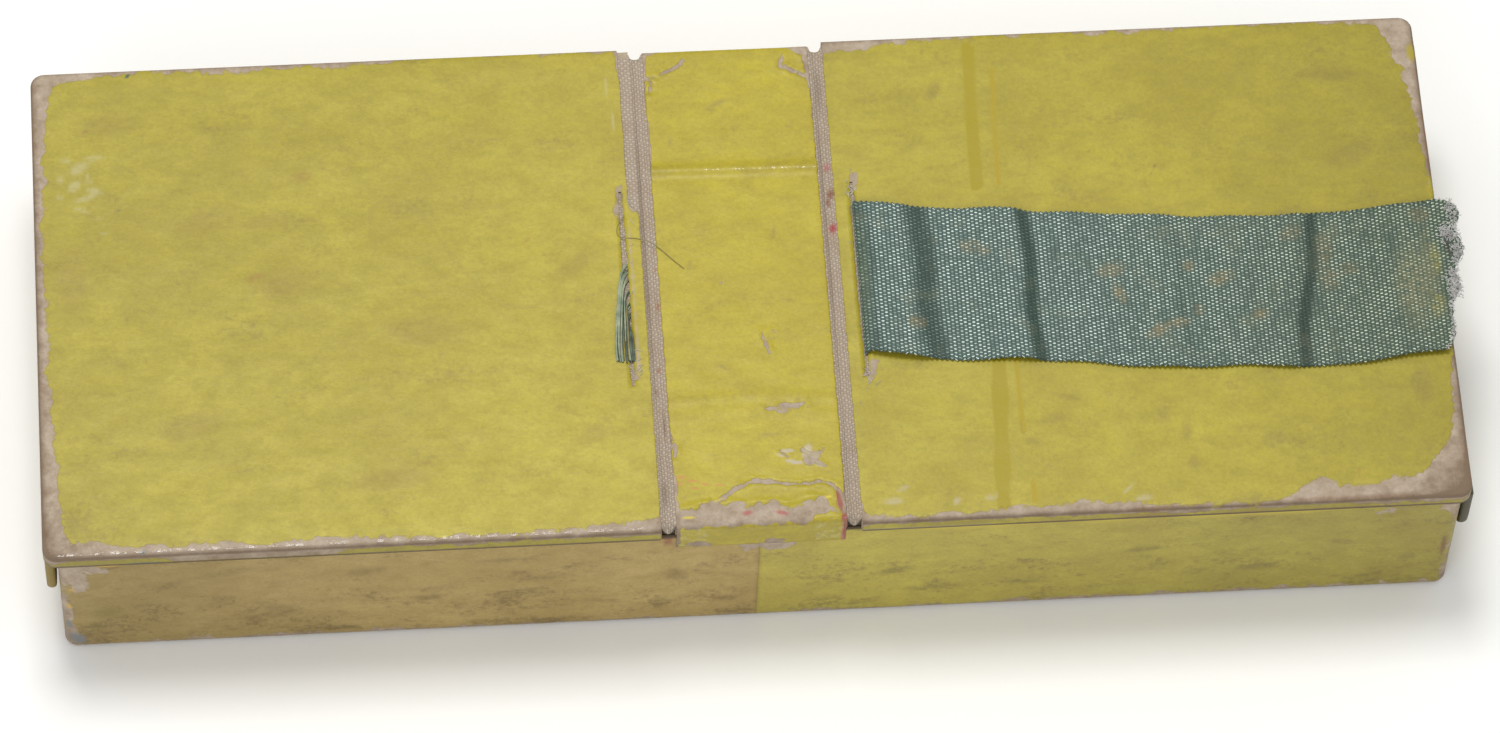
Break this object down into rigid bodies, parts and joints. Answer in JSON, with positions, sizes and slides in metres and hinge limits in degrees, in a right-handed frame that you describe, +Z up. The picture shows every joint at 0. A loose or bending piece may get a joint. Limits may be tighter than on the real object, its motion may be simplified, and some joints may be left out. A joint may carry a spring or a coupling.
{
  "type": "medal presentation case",
  "caption": "Long shallow paper-covered card case with two cloth-hinged lids, hanging end flaps, a silk ribbon pull and fitted beds for medals.",
  "frame": {"origin": "on the underside, below the middle of the bridge", "axes": "+X along the case towards the right lid, +Y to the back, +Z up"},
  "size_m": [0.2058, 0.0806, 0.0298],
  "materials": {
    "grey_board": "raw grey-brown pasteboard",
    "gummed_tape": "gummed brown paper tape",
    "lid_paper": "yellow surface paper, lightly glazed and worn",
    "tray_paper": "yellow surface paper, soiled",
    "soiled_tray_paper": "yellow surface paper, browned and soiled",
    "base_paper": "plain paper",
    "lining_paper": "off-white paper",
    "hinge_cloth": "plain-woven cotton, stained",
    "silk_ribbon": "woven silk, pale blue-green",
    "velvet": "cotton velvet"
  },
  "bodies": {
    "tray": {"back_wall": "grey_board", "base_board": "grey_board", "base_paper": "base_paper", "bridge_board": "grey_board", "bridge_lining": "lining_paper", "bridge_paper": "lid_paper", "corner_stays": "gummed_tape", "front_wall": "grey_board", "left_bed_backing": "grey_board", "left_bed_board": "grey_board", "left_bed_risers": "grey_board", "left_bed_velvet": "velvet", "left_bridge_hinge_cloth": "hinge_cloth", "left_compartment_lining": "lining_paper", "left_end_wall": "grey_board", "left_partition": "grey_board", "left_tray_paper": "soiled_tray_paper", "right_bed_backing": "grey_board", "right_bed_board": "grey_board", "right_bed_risers": "grey_board", "right_bed_velvet": "velvet", "right_bridge_hinge_cloth": "hinge_cloth", "right_compartment_lining": "lining_paper", "right_end_wall": "grey_board", "right_partition": "grey_board", "right_tray_paper": "tray_paper"},
    "left_lid": {"left_lid_board": "grey_board", "left_lid_paper": "lid_paper", "left_lid_lining": "lining_paper", "left_lid_hinge_cloth": "hinge_cloth", "left_ribbon_tail": "silk_ribbon", "left_ribbon_threads": "silk_ribbon"},
    "right_lid": {"right_lid_board": "grey_board", "right_lid_paper": "lid_paper", "right_lid_lining": "lining_paper", "right_lid_hinge_cloth": "hinge_cloth", "right_ribbon": "silk_ribbon"},
    "left_flap": {"left_flap_board": "grey_board", "left_flap_paper": "tray_paper"},
    "right_flap": {"right_flap_board": "grey_board", "right_flap_paper": "tray_paper"}
  },
  "joints": [
    {"name": "left_lid_hinge", "type": "hinge", "parent": "tray", "child": "left_lid", "pos_m": [-0.0132, 0, 0.02782], "axis": [0, 1, 0], "range_deg": [0, 97]},
    {"name": "left_flap_hinge", "type": "hinge", "parent": "left_lid", "child": "left_flap", "pos_m": [-0.1006, 0, 0.02455], "axis": [0, 1, 0], "range_deg": [0, 90]},
    {"name": "right_lid_hinge", "type": "hinge", "parent": "tray", "child": "right_lid", "pos_m": [0.0132, 0, 0.02782], "axis": [0, -1, 0], "range_deg": [0, 97]},
    {"name": "right_flap_hinge", "type": "hinge", "parent": "right_lid", "child": "right_flap", "pos_m": [0.1014, 0, 0.02455], "axis": [0, -1, 0], "range_deg": [0, 90]}
  ]
}
